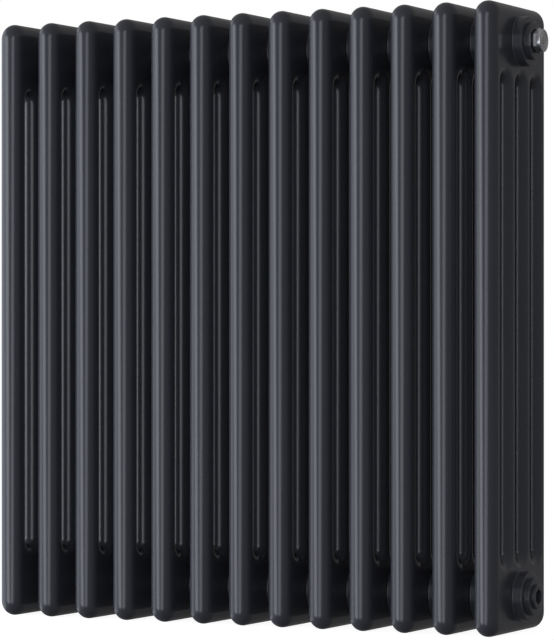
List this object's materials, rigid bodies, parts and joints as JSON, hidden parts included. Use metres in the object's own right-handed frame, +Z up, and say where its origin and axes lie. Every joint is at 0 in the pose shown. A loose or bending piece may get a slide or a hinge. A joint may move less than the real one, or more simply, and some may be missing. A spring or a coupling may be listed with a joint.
{
  "type": "column radiator with air vent",
  "caption": "Anthracite steel column radiator with round tubes between flat-sided heads, a chrome bleed valve and a hexagon blank plug on one end, and two open ports on the other.",
  "frame": {"origin": "middle of the underside of the whole object, vent included", "axes": "+Z up, -Y the front that faces the room, +X towards the end with the vent and the plug"},
  "size_m": [0.5832, 0.136, 0.6],
  "materials": {
    "powder_coat": "satin anthracite powder coat on steel",
    "chrome_plate": "polished chrome plate on brass",
    "nickel_brass": "nickel-plated brass, turned",
    "seal_rubber": "matt black EPDM"
  },
  "bodies": {
    "radiator": {"top_head_01": "powder_coat", "top_head_02": "powder_coat", "top_head_03": "powder_coat", "top_head_04": "powder_coat", "top_head_05": "powder_coat", "top_head_06": "powder_coat", "top_head_07": "powder_coat", "top_head_08": "powder_coat", "top_head_09": "powder_coat", "top_head_10": "powder_coat", "top_head_11": "powder_coat", "top_head_12": "powder_coat", "top_head_13": "powder_coat", "tube_section_01": "powder_coat", "tube_section_02": "powder_coat", "tube_section_03": "powder_coat", "tube_section_04": "powder_coat", "tube_section_05": "powder_coat", "tube_section_06": "powder_coat", "tube_section_07": "powder_coat", "tube_section_08": "powder_coat", "tube_section_09": "powder_coat", "tube_section_10": "powder_coat", "tube_section_11": "powder_coat", "tube_section_12": "powder_coat", "tube_section_13": "powder_coat", "socket_top_right": "powder_coat", "socket_bottom_right": "powder_coat", "socket_top_left": "powder_coat", "socket_bottom_left": "powder_coat", "vent_body": "chrome_plate", "vent_seal_ring": "seal_rubber", "blank_plug": "powder_coat", "plug_seal_ring": "seal_rubber"},
    "outlet_collar": {"vent_outlet_collar": "chrome_plate"},
    "needle_carriage": {"needle_o_ring": "seal_rubber"},
    "needle": {"vent_needle": "nickel_brass"}
  },
  "joints": [
    {"name": "collar_swivel", "type": "hinge", "parent": "radiator", "child": "outlet_collar", "pos_m": [0.28255, 0, 0.565], "axis": [1, 0, 0], "continuous": true},
    {"name": "needle_advance", "type": "slide", "parent": "radiator", "child": "needle_carriage", "axis": [1, 0, 0], "range_m": [0, 0.001]},
    {"name": "needle_turn", "type": "hinge", "parent": "needle_carriage", "child": "needle", "pos_m": [0.28255, 0, 0.565], "axis": [1, 0, 0], "range_deg": [0, 360]}
  ],
  "couplings": [
    {"joint": "needle_turn", "follows": "needle_advance", "rad_per_m": 6283.2}
  ]
}
